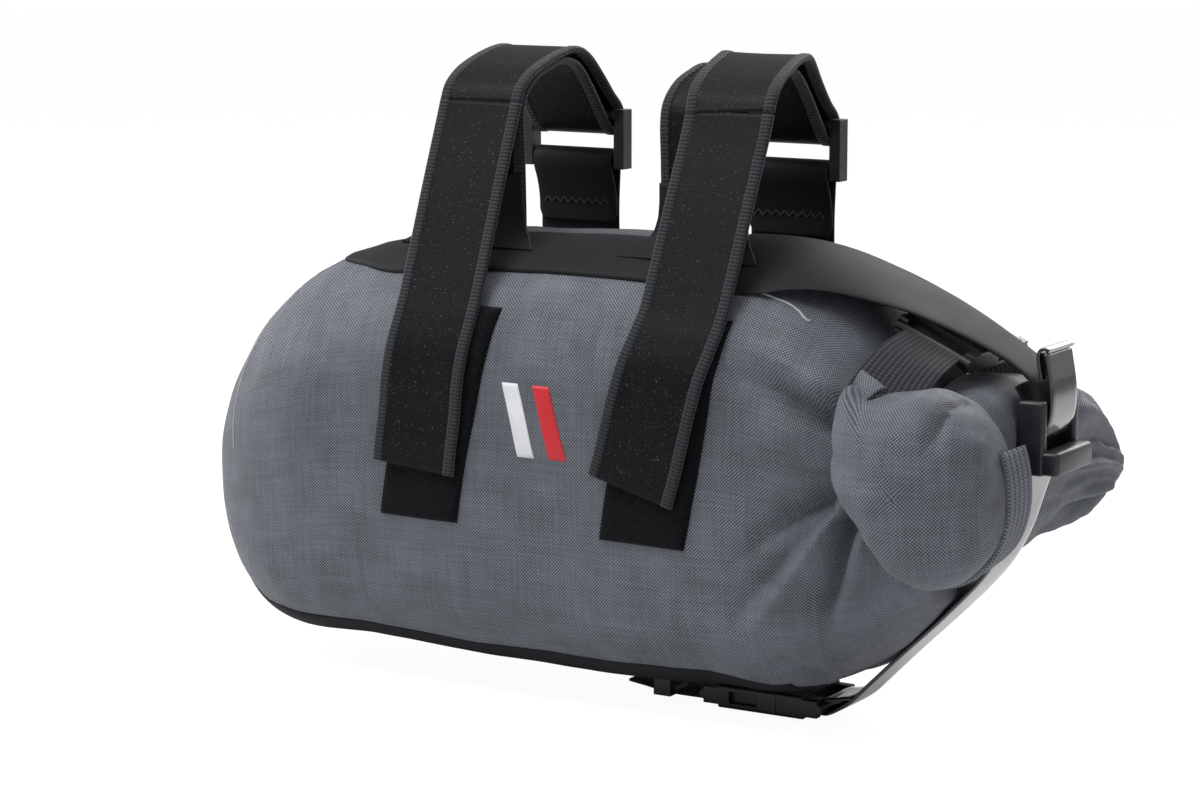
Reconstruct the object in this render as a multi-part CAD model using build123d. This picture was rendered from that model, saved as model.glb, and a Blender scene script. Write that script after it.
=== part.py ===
"""Roll-top handlebar bag: a welded fabric bag in a rubberised harness with two hook-and-loop bar straps.

Axes: +X along the bag towards its rolled mouth, +Y from the bag's front to its back, +Z up. While it is
modelled, x = 0 is the closed end, y = 0 the middle of the bag's depth and z = 0 its bottom. At the end
every part moves, so that the origin is on the handlebar's axis, midway between the two straps.
All sizes are in millimetres.

A bent strap, tab or webbing is a ribbon: its left face, seen along its run, is a line that touches a row
of circles. Each circle is (across, up, radius), with a positive radius when the circle lies to the left.
"""
import math
import os
from build123d import *

# Bag
BAG_DEPTH = 120.0
BAG_HEIGHT = 180.0
END_RUN = 100.0             # the closed end is rounded over this length
MOUTH_START = 268.0         # the bag tapers to its mouth from here
MOUTH_RUN = 88.0
WALL = 1.2
BOTTOM_RADIUS = 38.0
TOP_RADIUS = 58.0
END_HALF = 30.0             # half depth, bottom and top of the flat closed end
END_LOW = 35.0
END_DROP = 68.0
MOUTH_INSET = 18.0          # of the mouth's sides, from the bag's
MOUTH_HEIGHT = 42.0
MOUTH_DROP = 68.0
MOUTH_TOP_CURVE = 2.2       # exponents of the taper
MOUTH_LOW_CURVE = 3.0

# Gaps
CONTACT = 0.15              # between layers that are sewn or welded together
RUN = 0.3                   # between layers that part when something moves

# Harness and bar straps
SHEET = 1.6                 # rubberised sheet
STRIP_FRONT = -40.0
STRIP_START = 42.0
STRIP_END = 262.0
STRIP_PAST = 2.0            # past the front tabs, towards the back
PANEL_START = 24.0
PANEL_END = 298.0
PANEL_SIDE = 12.0           # depth of the panel's upright part
PANEL_TOP = 160.0
PANEL_EDGE = -48.0          # where the panel ends under the bag
PAD = 2.0
PAD_LOW = 62.0
PAD_HIGH = 150.0
STRAP_WIDTH = 40.0
STRAP = 2.4
STRAP_CENTRES = {"left": 137.0, "right": 243.0}
FLAP_LOW = 84.0
SPLIT = 3.0                 # straight length between the bar and the line where the flap peels off
BAR_RADIUS = 15.9           # a 31.8 mm handlebar
BAR_Y = 3.0
BAR_ABOVE = 49.0            # bar's axis above the bag
TAB_HIGH = 24.0             # height of the front tab above the bag
TAB_LOW = 104.0             # where the rear tab is sewn to the panel
TAB_HEM = 24.0              # its inner leg, below the ring's lower rod
RING_ABOVE = 24.0           # ring's lower rod above the bag
RING_PITCH = 19.0
RING_ROD = 2.6
RING_SIDE = 5.0
RING_FRAME = 1.0            # of the sides, past the rods
RING_SLACK = 3.0            # between the strap and the upper rod, for the ring's swing
TAB_SLACK = 0.7             # between the rear tab and the lower rod
SIDE_SLACK = 1.0            # between the ring's sides and the strap's edges

# Buckles and webbing
WEB = 1.5
WEB_WIDTH = 25.0
SOCKET_LENGTH = 37.0
BUCKLE_WIDTH = 35.0
BUCKLE_THICK = 10.0
BUCKLE_WALL = 1.8
PLUG_LENGTH = 22.0
BAR_ROD = 2.0               # radius of the bar that webbing turns round
BAR_EDGE = 1.0              # plastic beyond that bar
SLOT = 5.0                  # room for the webbing beside the bar
BEZEL = 1.5                 # rounding of the buckles' edges
PRONG_REACH = 24.0
PRONG_THICK = 3.4
PRONG_HEIGHT = 5.0
PRONG_SLACK = 0.8
GUIDE_REACH = 12.0
GUIDE_WIDTH = 9.0
WINDOW = 13.0               # side window of a socket, and its distance from the mouth
WINDOW_SETBACK = 9.0
BOTTOM_MOUTH = (279.0, 0.0, -9.0)
EAR_MOUTH = (350.0, -3.0, BAG_HEIGHT - 32.6)
EAR_TILT = 25.0
EAR_WEB_DROP = -19.0
EAR_WEB_TAIL = (9.0, -8.5)  # free end of the ears' webbing, from the bar it turns round
EAR_WEB_REACH = 14.0        # how far into the ear the webbing goes
EAR_RISE = 2.0
EAR_ROUND = 0.45            # corner radius of an ear's section, as a share of its width
# Sections of an ear: distance out from the roll, distance past the mouth, width and height
EAR_LOBES = [(0.15, 13.0, 22.0, 78.0), (14.0, 8.0, 48.0, 80.0),
             (26.0, 8.0, 42.0, 66.0), (34.0, 8.0, 22.0, 40.0)]
WEBBING_START = 125.0
WEBBING_BEND = (200.0, 10.0)
WEBBING_TAIL = 206.0
WEBBING_LIFT = 1.0
SLIDER_DEPTH = 3.4          # of the slider below the bottom buckle's middle
SLIDER = (221.0, 229.0)
EYE = 0.3                   # clearance of webbing in a slot

# Mouth roll and closure
ROLL_THICK = 25.0
ROLL_HEIGHT = 84.0
ROLL_OVERHANG = 2.0         # of the roll past each side of the mouth
ROLL_CORNER = 5.0           # lower corner of the roll, next to the bag
ROLL_SLANT = 2.0            # how much steeper than 45 degrees its lower face is
ROLL_RADII = [0, 2, 2, 14, 11, 11]
STIFFENER_INSET = 6.0
STIFFENER = 1.5
STIFFENER_HEIGHT = 24.0
TONGUE_WIDE = 64.0
TONGUE_NARROW = WEB_WIDTH + 2.0
TONGUE_END = (380.0, BAG_HEIGHT - 46.0)
TONGUE_BEND = (292.0, 40.0)         # x and radius where the tongue leaves the bag's top
TONGUE_SHOULDER = (376.0, BAG_HEIGHT - 54.0, 16.0)
LOCK_X = 391.0
LOCK_LOW = BAG_HEIGHT - 77.0
LOCK_PITCH = 9.5
LOCK_THICK = 8.0
LOCK_RAIL = 3.0
STRAP_CORNERS = [(312.0, 24.0, 25.0), (365.0, BAG_HEIGHT - 90.0, 24.0)]
STRAP_TAIL = (13.0, 9.0)    # end of the strap, from the bar of the plug it turns round
TAIL_HIGH = BAG_HEIGHT - 37.0
TAIL_HEM = (1.2, 8.0)       # end of the folded tail, from the lock and from the fold
TAIL_FOLD = 1.5
MARK = 0.5                  # thickness of the reflective marks
MARK_SIZE = (8.0, 30.0)
MARK_SLANT = 9.0
MARK_CENTRES = {"white": (178.0, 108.0), "red": (193.0, 108.0)}

HALF = BAG_DEPTH / 2
ROLL_HALF = HALF - MOUTH_INSET + ROLL_OVERHANG
FAR = 2 * (BAG_HEIGHT + BAG_DEPTH)   # beyond everything, for cuts
CORE_Y = HALF - TOP_RADIUS
CORE_Z = BAG_HEIGHT - TOP_RADIUS
MOUTH = MOUTH_START + MOUTH_RUN
MOUTH_LOW = BAG_HEIGHT - MOUTH_DROP - MOUTH_HEIGHT
TOP_FACE = BAG_HEIGHT + CONTACT + SHEET
UNDERSIDE = -CONTACT - SHEET
RING_Y = HALF + CONTACT + SHEET + CONTACT - TAB_SLACK - RING_ROD
RING_Z = BAG_HEIGHT + RING_ABOVE
BAR_Z = BAG_HEIGHT + BAR_ABOVE


# --- Ribbons ---------------------------------------------------------------------------------------------
def heading(first, second):
    """Direction of the line that runs from one circle to the next, in radians."""
    across, up = second[0] - first[0], second[1] - first[1]
    return math.atan2(up, across) - math.asin((second[2] - first[2]) / math.hypot(across, up))


def touch(circle, angle, radius):
    """Point where a line with this heading touches the circle."""
    return (circle[0] + radius * math.sin(angle), circle[1] - radius * math.cos(angle))


def face_line(stops, shift):
    """Edges of the line beside the stops, moved to the right by a distance."""
    angles = [heading(a, b) for a, b in zip(stops, stops[1:])]
    edges = []
    here = touch(stops[0], angles[0], stops[0][2] + shift)
    for stop, before, after in zip(stops[1:-1], angles, angles[1:]):
        radius = stop[2] + shift
        sweep = (after - before) % (2 * math.pi)
        if radius < 0:
            sweep -= 2 * math.pi
        start, middle, end = [touch(stop, before + sweep * part, radius) for part in (0, 0.5, 1)]
        edges += [Line(here, start), ThreePointArc(start, middle, end)]
        here = end
    edges.append(Line(here, touch(stops[-1], angles[-1], stops[-1][2] + shift)))
    return edges


def ribbon(stops, thickness, width, plane, centre=0.0, grow=0.0):
    """A strap with its left face along the stops, centred on the plane's normal axis."""
    left = face_line(stops, -grow)
    right = face_line(stops, thickness + grow)
    caps = [Line(left[0] @ 0, right[0] @ 0), Line(left[-1] @ 1, right[-1] @ 1)]
    profile = make_face(Wire(left + right + caps))
    body = extrude(plane * profile, amount=width / 2 + grow, both=True)
    return Pos(plane.z_dir * centre) * body


def block(x, y, z):
    """A box between three pairs of limits."""
    pairs = (x, y, z)
    return Pos(*[sum(pair) / 2 for pair in pairs]) * Box(*[pair[1] - pair[0] for pair in pairs])


# --- Bag -------------------------------------------------------------------------------------------------
def outline(x, half, low, high, grow):
    """The bag's cross-section at x, as a face grown by a distance."""
    height = high - low
    low_radius = min(BOTTOM_RADIUS, half - 1.5, 0.4 * height) + grow
    high_radius = min(TOP_RADIUS, half - 1.5, 0.6 * height - 1) + grow
    half, low, high = half + grow, low - grow, high + grow
    points = [(0, low), (half, low), (half, high), (-half, high), (-half, low)]
    radii = [0, low_radius, high_radius, high_radius, low_radius]
    return Plane.YZ.offset(x) * make_face(FilletPolyline(*points, radius=radii, close=True))


def bulge(share):
    """Inset of a rounded end, 1 at the end and 0 where the rounding starts."""
    rest = 1 - min(share, 1)
    return 1 - math.sqrt(1 - rest * rest)


def end_section(x, grow):
    side, under, over = bulge(x / 60), bulge(x / 45), bulge(x / END_RUN)
    half = HALF - (HALF - END_HALF) * side
    return outline(x, half, END_LOW * under, BAG_HEIGHT - END_DROP * over, grow)


def mouth_section(x, grow):
    share = (x - MOUTH_START) / MOUTH_RUN
    under, over = share ** MOUTH_LOW_CURVE, share ** MOUTH_TOP_CURVE
    half = HALF - MOUTH_INSET * under
    return outline(x, half, MOUTH_LOW * under, BAG_HEIGHT - MOUTH_DROP * over, grow)


def bag_shape(grow, trim=0.0):
    """The whole bag as a closed solid, grown by a distance and cut short at both ends by trim."""
    end = [end_section(share * END_RUN, grow) for share in (0, 0.03, 0.1, 0.22, 0.4, 0.65, 1)]
    taper = (0, 0.25, 0.45, 0.62, 0.78, 0.9, 1)
    mouth = [mouth_section(MOUTH_START + share * MOUTH_RUN, grow) for share in taper]
    middle = extrude(end_section(END_RUN, grow), amount=MOUTH_START - END_RUN, dir=(1, 0, 0))
    whole = loft(end, ruled=True) + middle + loft(mouth, ruled=True)
    if trim:
        whole &= block((trim, MOUTH - trim), (-FAR, FAR), (-FAR, FAR))
    return whole


def skin(thickness, region):
    """A sheet of one thickness that lies on the bag, inside a region."""
    return region & (bag_shape(CONTACT + thickness) - bag_shape(CONTACT))


# --- Buckles ---------------------------------------------------------------------------------------------
def end_bar(bar_x, reach, thick):
    """The bar that webbing turns round, with the two side rails that hold it."""
    rail = (BUCKLE_WIDTH - WEB_WIDTH) / 2 - SIDE_SLACK
    frame = block(sorted((bar_x, reach)), (-BUCKLE_WIDTH / 2, BUCKLE_WIDTH / 2), (-thick / 2, thick / 2))
    gap = BUCKLE_WIDTH / 2 - rail
    frame -= block(sorted((bar_x * 2, reach)), (-gap, gap), (-thick, thick))
    return frame + Pos(X=bar_x) * Rot(90, 0, 0) * Cylinder(BAR_ROD, BUCKLE_WIDTH)


def socket():
    """Socket of a side-release buckle: its mouth is at x = 0 and it lies along -X."""
    bar_x = BAR_ROD + BAR_EDGE - SOCKET_LENGTH
    back = bar_x + BAR_ROD + SLOT
    shell = block((back, 0), (-BUCKLE_WIDTH / 2, BUCKLE_WIDTH / 2), (-BUCKLE_THICK / 2, BUCKLE_THICK / 2))
    shell = fillet(shell.edges().filter_by(Axis.X), BEZEL)
    inside = BUCKLE_WIDTH / 2 - BUCKLE_WALL
    ceiling = BUCKLE_THICK / 2 - BUCKLE_WALL
    shell -= block((-PRONG_REACH - PRONG_SLACK, 1), (-inside, inside), (-ceiling, ceiling))
    window = (-WINDOW_SETBACK - WINDOW, -WINDOW_SETBACK)
    shell -= block(window, (-BUCKLE_WIDTH, BUCKLE_WIDTH), (-PRONG_HEIGHT / 2, PRONG_HEIGHT / 2))
    return shell + end_bar(bar_x, back, BUCKLE_THICK - 2 * BEZEL)


def plug():
    """Plug without its prongs: its shoulder meets the mouth at x = 0 and it lies along +X."""
    bar_x = PLUG_LENGTH - BAR_ROD - BAR_EDGE
    front = bar_x - BAR_ROD - SLOT
    body = block((RUN, front), (-BUCKLE_WIDTH / 2, BUCKLE_WIDTH / 2), (-BUCKLE_THICK / 2, BUCKLE_THICK / 2))
    body = fillet(body.edges().filter_by(Axis.X), BEZEL)
    pocket = prong_side() + PRONG_THICK + PRONG_SLACK
    inner = prong_side() - PRONG_SLACK
    high = PRONG_HEIGHT / 2
    for sign in (-1, 1):
        sides = sorted((sign * inner, sign * pocket))
        body -= block((0, RUN + PRONG_THICK + RUN), sides, (-high - RUN, high + RUN))
    guide = block((-GUIDE_REACH, RUN), (-GUIDE_WIDTH / 2, GUIDE_WIDTH / 2), (-high, high))
    return body + guide + end_bar(bar_x, front, BUCKLE_THICK - 2 * BEZEL)


def prong_side():
    """Inner face of a prong, from the buckle's middle."""
    return BUCKLE_WIDTH / 2 - BUCKLE_WALL - PRONG_SLACK - PRONG_THICK


def prong(sign):
    """A springy arm of the plug, hinged in the plug's pocket and reaching into the socket."""
    sides = sorted((sign * prong_side(), sign * (prong_side() + PRONG_THICK)))
    arm = block((-PRONG_REACH, RUN + PRONG_THICK), sides, (-PRONG_HEIGHT / 2, PRONG_HEIGHT / 2))
    return fillet(arm.edges().filter_by(Axis.Z), PRONG_THICK * 0.4)


def bar_of(length, sign):
    """Place of a buckle half's webbing bar along its own x axis."""
    return sign * (length - BAR_ROD - BAR_EDGE)


parts = {}

# Bag, mouth roll and its stiffener
parts["bag_body"] = bag_shape(0) - bag_shape(-WALL, WALL)
roll_z = (MOUTH_LOW + BAG_HEIGHT - MOUTH_DROP) / 2
roll_x = (MOUTH + CONTACT, MOUTH + CONTACT + ROLL_THICK)
roll_low, roll_high = roll_z - ROLL_HEIGHT / 2, roll_z + ROLL_HEIGHT / 2
roll_line = FilletPolyline((roll_x[0], roll_z), (roll_x[0], roll_low), (roll_x[0] + ROLL_CORNER, roll_low),
                           (roll_x[1], roll_low + ROLL_THICK + ROLL_SLANT), (roll_x[1], roll_high),
                           (roll_x[0], roll_high), radius=ROLL_RADII, close=True)
roll = extrude(Plane.XZ * make_face(roll_line), amount=ROLL_HALF, both=True)
stiffener_x = sum(roll_x) / 2
stiffener_y = ROLL_HALF - STIFFENER_INSET
stiffener = block((stiffener_x - STIFFENER / 2, stiffener_x + STIFFENER / 2), (-stiffener_y, stiffener_y),
                  (roll_z - STIFFENER_HEIGHT / 2, roll_z + STIFFENER_HEIGHT / 2))
parts["mouth_roll"] = roll - offset(stiffener, amount=CONTACT, kind=Kind.INTERSECTION)
parts["mouth_stiffener"] = stiffener

# Buckle that clips the two ears of the roll together, with its webbing
tilt = math.radians(EAR_TILT)
ear_plane = Plane(EAR_MOUTH, x_dir=(0, -1, 0), z_dir=(math.sin(tilt), 0, math.cos(tilt)))
wrap = BAR_ROD + EYE
plug_bar = PLUG_LENGTH - BAR_ROD - BAR_EDGE
socket_bar = SOCKET_LENGTH - BAR_ROD - BAR_EDGE


def ear_web(bar, reach):
    """Webbing from under a buckle's bar, round it and down into the ear."""
    return [(bar + EAR_WEB_TAIL[0], EAR_WEB_TAIL[1], 0), (bar, 0, -wrap - WEB), (reach, EAR_WEB_DROP, 0)]


ear_y = ROLL_HALF + EAR_WEB_REACH
front_web = ear_web(plug_bar, ear_y + EAR_MOUTH[1])
socket_web = ear_web(socket_bar, ear_y - EAR_MOUTH[1])
rear_web = [(-across, up, radius) for across, up, radius in reversed(socket_web)]
for name, web, sign in (("front", front_web, -1), ("rear", rear_web, 1)):
    lobes = []
    for out, shift, width, height in EAR_LOBES:
        middle = (MOUTH + shift, sign * (ROLL_HALF + out), roll_z + EAR_RISE)
        frame = Plane(middle, x_dir=(1, 0, 0), z_dir=(0, sign, 0))
        lobes.append(frame * RectangleRounded(width, height, EAR_ROUND * width))
    ear = loft(lobes)
    ear -= ear_plane * ribbon(web, WEB, WEB_WIDTH, Plane.XZ, grow=CONTACT)
    parts[name + "_ear"] = ear
    parts[name + "_ear_webbing"] = ear_plane * ribbon(web, WEB, WEB_WIDTH, Plane.XZ)
for name, place in (("ear", ear_plane), ("bottom", Plane(BOTTOM_MOUTH))):
    parts[name + "_buckle_socket"] = place * socket()
    parts[name + "_buckle_plug"] = place * plug()
    parts[name + "_buckle_prong_a"] = place * prong(-1)
    parts[name + "_buckle_prong_b"] = place * prong(1)

# Harness: strip along the top, tongue over the mouth, panel down the back and under the bag
strip_y = (STRIP_FRONT, BAR_Y - BAR_RADIUS + STRIP_PAST)
parts["harness_top_strip"] = skin(SHEET, block((STRIP_START, STRIP_END), strip_y, (CORE_Z, FAR)))
panel_x = (PANEL_START, PANEL_END)
behind = block(panel_x, (HALF - PANEL_SIDE, HALF + FAR), (-FAR, PANEL_TOP))
below = block(panel_x, (PANEL_EDGE, HALF - PANEL_SIDE), (-FAR, BOTTOM_RADIUS))
parts["harness_back_panel"] = skin(SHEET, behind + below)
lock_bars = [(LOCK_X, LOCK_LOW + LOCK_PITCH * step) for step in range(3)]
tongue_run = [(STRIP_END + CONTACT, TOP_FACE, 0),
              (TONGUE_BEND[0], TOP_FACE - TONGUE_BEND[1], -TONGUE_BEND[1]),
              TONGUE_SHOULDER[:2] + (-TONGUE_SHOULDER[2],),
              lock_bars[2] + (-wrap - SHEET,), TONGUE_END + (0,)]
tongue_side = [(STRIP_END, TONGUE_WIDE / 2), (TONGUE_BEND[0], TONGUE_WIDE / 2),
               (TONGUE_SHOULDER[0], TONGUE_NARROW / 2), (FAR, TONGUE_NARROW / 2)]
tongue_plan = Polyline(*tongue_side, *[(x, -y) for x, y in reversed(tongue_side)], close=True)
tongue_limits = extrude(make_face(tongue_plan), amount=FAR)
parts["harness_tongue"] = ribbon(tongue_run, SHEET, TONGUE_WIDE, Plane.XZ) & tongue_limits

# Ladder lock on the tongue, and the closure strap from it to the bottom buckle
lock_side = TONGUE_NARROW / 2 + EYE
lock = Part()
for sign in (-1, 1):
    rail = sorted((sign * lock_side, sign * (lock_side + LOCK_RAIL)))
    lock += block((LOCK_X - LOCK_THICK / 2, LOCK_X + LOCK_THICK / 2), rail,
                  (LOCK_LOW - LOCK_THICK / 2, lock_bars[2][1] + LOCK_THICK / 2))
for x, z in lock_bars:
    lock += Pos(x, 0, z) * Rot(90, 0, 0) * Cylinder(BAR_ROD, 2 * lock_side + LOCK_RAIL)
parts["ladder_lock"] = lock
strap_bar = (BOTTOM_MOUTH[0] + plug_bar, BOTTOM_MOUTH[2])
closure = [(strap_bar[0] + STRAP_TAIL[0], strap_bar[1] + STRAP_TAIL[1], 0), strap_bar + (wrap,)]
closure += STRAP_CORNERS
closure += [lock_bars[0] + (-wrap - WEB,), lock_bars[1] + (wrap,), lock_bars[2] + (wrap + SHEET + RUN,)]
closure += [(LOCK_X + wrap + SHEET + RUN - TAIL_FOLD, TAIL_HIGH, TAIL_FOLD),
            (LOCK_X + TAIL_HEM[0], TAIL_HIGH - TAIL_HEM[1], 0)]
parts["closure_strap"] = ribbon(closure, WEB, WEB_WIDTH, Plane.XZ)

# Webbing under the bag, with the slider that holds its tail
webbing_top = UNDERSIDE - CONTACT
webbing = [(WEBBING_START, webbing_top, 0),
           (WEBBING_BEND[0], webbing_top - WEBBING_BEND[1], -WEBBING_BEND[1]),
           (BOTTOM_MOUTH[0] - socket_bar, BOTTOM_MOUTH[2], -wrap - WEB),
           (WEBBING_TAIL, BOTTOM_MOUTH[2] + WEBBING_LIFT, 0)]
parts["bottom_webbing"] = ribbon(webbing, WEB, WEB_WIDTH, Plane.XZ)
slider_z = (BOTTOM_MOUTH[2] - SLIDER_DEPTH, webbing_top - RUN)
slider = block(SLIDER, (-BUCKLE_WIDTH / 2, BUCKLE_WIDTH / 2), slider_z)
parts["bottom_slider"] = slider - ribbon(webbing, WEB, WEB_WIDTH, Plane.XZ, grow=EYE)

# Bar straps, their tabs, rings and loop pads
ring_high = RING_Z + RING_PITCH
outer = BAR_RADIUS + STRAP
turn = (BAR_Y, BAR_Z)
shoulder = (-CORE_Y, CORE_Z, TOP_RADIUS + CONTACT + PAD + RUN)
peel = heading(turn + (outer + CONTACT,), shoulder)
leave = touch(turn, peel, outer + CONTACT)
foot = CORE_Z + TOP_RADIUS + SHEET + 2 * CONTACT


def along(distance):
    """Point on the straight stretch of the strap between the bar and the bag's shoulder."""
    return (leave[0] + distance * math.cos(peel), leave[1] + distance * math.sin(peel), 0)


strap_run = [(BAR_Y - outer, foot, 0), turn + (-outer,), (RING_Y, ring_high, RING_ROD + RING_SLACK),
             turn + (outer + CONTACT,), along(SPLIT)]
flap_run = [along(SPLIT + RUN), shoulder, (shoulder[0] - shoulder[2], FLAP_LOW, 0)]
tab_y = BAR_Y - outer - CONTACT - SHEET
tab_run = [(tab_y, foot, 0), (tab_y, BAG_HEIGHT + TAB_HIGH, 0)]
back_y = RING_Y + RING_ROD + TAB_SLACK
back_tab_run = [(back_y, TAB_LOW, 0), (RING_Y, RING_Z, RING_ROD + TAB_SLACK),
                (back_y - CONTACT, RING_Z - TAB_HEM, 0)]
for name, x in STRAP_CENTRES.items():
    parts[name + "_front_tab"] = ribbon(tab_run, SHEET, STRAP_WIDTH, Plane.YZ, x)
    parts[name + "_rear_tab"] = ribbon(back_tab_run, SHEET, STRAP_WIDTH, Plane.YZ, x)
    parts[name + "_strap"] = ribbon(strap_run, STRAP, STRAP_WIDTH, Plane.YZ, x)
    parts[name + "_flap"] = ribbon(flap_run, STRAP, STRAP_WIDTH, Plane.YZ, x)
    edges = (x - STRAP_WIDTH / 2, x + STRAP_WIDTH / 2)
    parts[name + "_loop_pad"] = skin(PAD, block(edges, (-FAR, -HALF / 2), (PAD_LOW, PAD_HIGH)))
    ring = Part()
    ring_width = STRAP_WIDTH + 2 * SIDE_SLACK + RING_SIDE
    frame = RING_ROD + RING_FRAME
    for z in (RING_Z, ring_high):
        ring += Pos(x, RING_Y, z) * Rot(0, 90, 0) * Cylinder(RING_ROD, ring_width)
    for sign in (-1, 1):
        near = x + sign * (STRAP_WIDTH / 2 + SIDE_SLACK)
        ring += block(sorted((near, near + sign * RING_SIDE)), (RING_Y - frame, RING_Y + frame),
                      (RING_Z - frame, ring_high + frame))
    parts[name + "_ring"] = ring

# Reflective marks on the front
for name, (x, z) in MARK_CENTRES.items():
    wide, tall = MARK_SIZE
    corners = [(x - MARK_SLANT / 2, z - tall / 2), (x - MARK_SLANT / 2 + wide, z - tall / 2),
               (x + MARK_SLANT / 2 + wide, z + tall / 2), (x + MARK_SLANT / 2, z + tall / 2)]
    mark = extrude(Plane.XZ * make_face(Polyline(*corners, close=True)), amount=MARK)
    parts["reflective_mark_" + name] = Pos(Y=-HALF - CONTACT) * mark

# Write every part, with the origin on the handlebar's axis, midway between the straps
origin = Vector(sum(STRAP_CENTRES.values()) / 2, BAR_Y, BAR_Z)
os.makedirs("parts", exist_ok=True)
for name, item in parts.items():
    solids = item.solids()
    whole = solids[0] if len(solids) == 1 else Compound(children=solids)
    export_step(Pos(-origin) * whole, f"parts/{name}.step")
    print(f"{name:28} {len(solids)} {item.volume:10.0f} {item.is_valid}")
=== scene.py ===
"""Looks of the roll-top handlebar bag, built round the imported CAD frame.

Shapes are worked out in millimetres from the bag's own corner: x from its closed end towards the rolled
mouth, y from the middle of its depth towards the back, z up from its bottom.
"""
import math
import bpy
import numpy as np
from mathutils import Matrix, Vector, noise


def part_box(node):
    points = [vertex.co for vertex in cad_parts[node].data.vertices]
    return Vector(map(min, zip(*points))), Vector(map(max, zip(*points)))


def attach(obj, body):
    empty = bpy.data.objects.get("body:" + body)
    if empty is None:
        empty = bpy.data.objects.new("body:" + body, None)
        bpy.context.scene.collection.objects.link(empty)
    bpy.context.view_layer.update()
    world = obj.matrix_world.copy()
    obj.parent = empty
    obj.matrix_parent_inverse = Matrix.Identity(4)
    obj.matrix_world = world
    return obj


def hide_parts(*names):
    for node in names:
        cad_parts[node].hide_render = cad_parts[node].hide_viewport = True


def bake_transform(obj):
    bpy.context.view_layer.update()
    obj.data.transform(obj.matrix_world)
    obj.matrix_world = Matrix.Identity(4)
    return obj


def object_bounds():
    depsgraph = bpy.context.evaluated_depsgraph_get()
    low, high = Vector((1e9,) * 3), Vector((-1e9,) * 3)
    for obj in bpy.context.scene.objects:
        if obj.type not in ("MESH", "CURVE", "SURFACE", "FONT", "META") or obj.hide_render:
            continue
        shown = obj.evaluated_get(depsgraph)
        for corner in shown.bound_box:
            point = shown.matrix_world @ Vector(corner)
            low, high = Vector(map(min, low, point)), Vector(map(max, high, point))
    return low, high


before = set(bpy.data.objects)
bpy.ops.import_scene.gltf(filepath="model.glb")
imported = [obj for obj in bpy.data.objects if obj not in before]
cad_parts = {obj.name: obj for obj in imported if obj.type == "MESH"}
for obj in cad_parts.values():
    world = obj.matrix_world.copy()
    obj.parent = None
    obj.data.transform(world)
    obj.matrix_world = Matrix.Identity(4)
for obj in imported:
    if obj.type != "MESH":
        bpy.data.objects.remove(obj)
cad_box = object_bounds()
low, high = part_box("bag_body")
CORNER = np.array([low[0], (low[1] + high[1]) / 2, low[2]]) * 1000
LENGTH, DEPTH, HEIGHT = [(high[i] - low[i]) * 1000 for i in range(3)]
HALF = DEPTH / 2
MM = 0.001  # metres in a millimetre
SPLINE_STEPS = 24  # samples of each stretch of a smooth path, before it is evened out
TAPE_COLUMNS = 9  # across each face of a strap
SHEET_EDGE = 16  # exponent of the rounding of a sheet's edges


# --- Meshes ---
def metres(points):
    return (np.asarray(points, float) + CORNER) * MM


def place(x, y, z):
    return Vector(metres((x, y, z)))


def local_box(node):
    """Lowest and highest corner of a CAD node, in millimetres from the bag's corner."""
    a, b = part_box(node)
    return np.array(a) * 1000 - CORNER, np.array(b) * 1000 - CORNER


def mesh_object(name, points, faces, uvs, material):
    """A mesh from points in millimetres; uvs has one (u, v) in metres for each face corner.

    material is a key of MATERIALS, here and in the functions that make pieces.
    """
    mesh = bpy.data.meshes.new(name)
    mesh.from_pydata([tuple(p) for p in metres(points)], [], faces)
    layer = mesh.uv_layers.new(name="UVMap")
    layer.data.foreach_set("uv", np.asarray(uvs, dtype=np.float32).ravel())
    mesh.polygons.foreach_set("use_smooth", [len(face) <= 4 for face in faces])
    mesh.materials.append(MATERIALS[material])
    mesh.update()
    piece = bpy.data.objects.new(name, mesh)
    bpy.context.collection.objects.link(piece)
    return piece


def distances(points):
    """Distance of each point along a row of points, in the points' own unit."""
    return np.concatenate([[0], np.cumsum(np.linalg.norm(np.diff(points, axis=0), axis=1))])


def lengths(points):
    """Distance of each point along a row of points in millimetres, in metres."""
    return distances(points) * MM


def surface(name, grid, material, u=None, v=None):
    """A closed mesh from rows of points. Each row is a ring, and the first and last ring are filled.

    u and v are the lengths along the rows and round a ring, in metres, and are measured if not given.
    """
    grid = np.asarray(grid)
    rows, columns = grid.shape[:2]
    u = lengths(grid[:, columns // 4]) if u is None else u
    v = lengths(np.vstack([grid[rows // 2], grid[rows // 2, :1]])) if v is None else v
    index = np.arange(rows * columns).reshape(rows, columns)
    faces, uvs = [], []
    for i in range(rows - 1):
        for j in range(columns):
            k = (j + 1) % columns
            faces.append((index[i, j], index[i, k], index[i + 1, k], index[i + 1, j]))
            uvs += [(u[i], v[j]), (u[i], v[j + 1]), (u[i + 1], v[j + 1]), (u[i + 1], v[j])]
    for ring in (index[0][::-1], index[-1]):
        faces.append(tuple(ring))
        uvs += [(v[n], 0) for n in range(columns)]
    return mesh_object(name, grid.reshape(-1, 3), faces, uvs, material)


def smooth_path(points, step=1.5):
    """Catmull-Rom curve through points, sampled evenly."""
    points = np.asarray(points, float)
    ends = np.vstack([2 * points[0] - points[1], points, 2 * points[-1] - points[-2]])
    samples = []
    for a, b, c, d in zip(ends, ends[1:], ends[2:], ends[3:]):
        for t in np.linspace(0, 1, SPLINE_STEPS, endpoint=False):
            samples.append(0.5 * (2 * b + (c - a) * t + (2 * a - 5 * b + 4 * c - d) * t * t
                                  + (3 * b - a - 3 * c + d) * t ** 3))
    samples.append(points[-1])
    return resample(np.array(samples), step)


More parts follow.
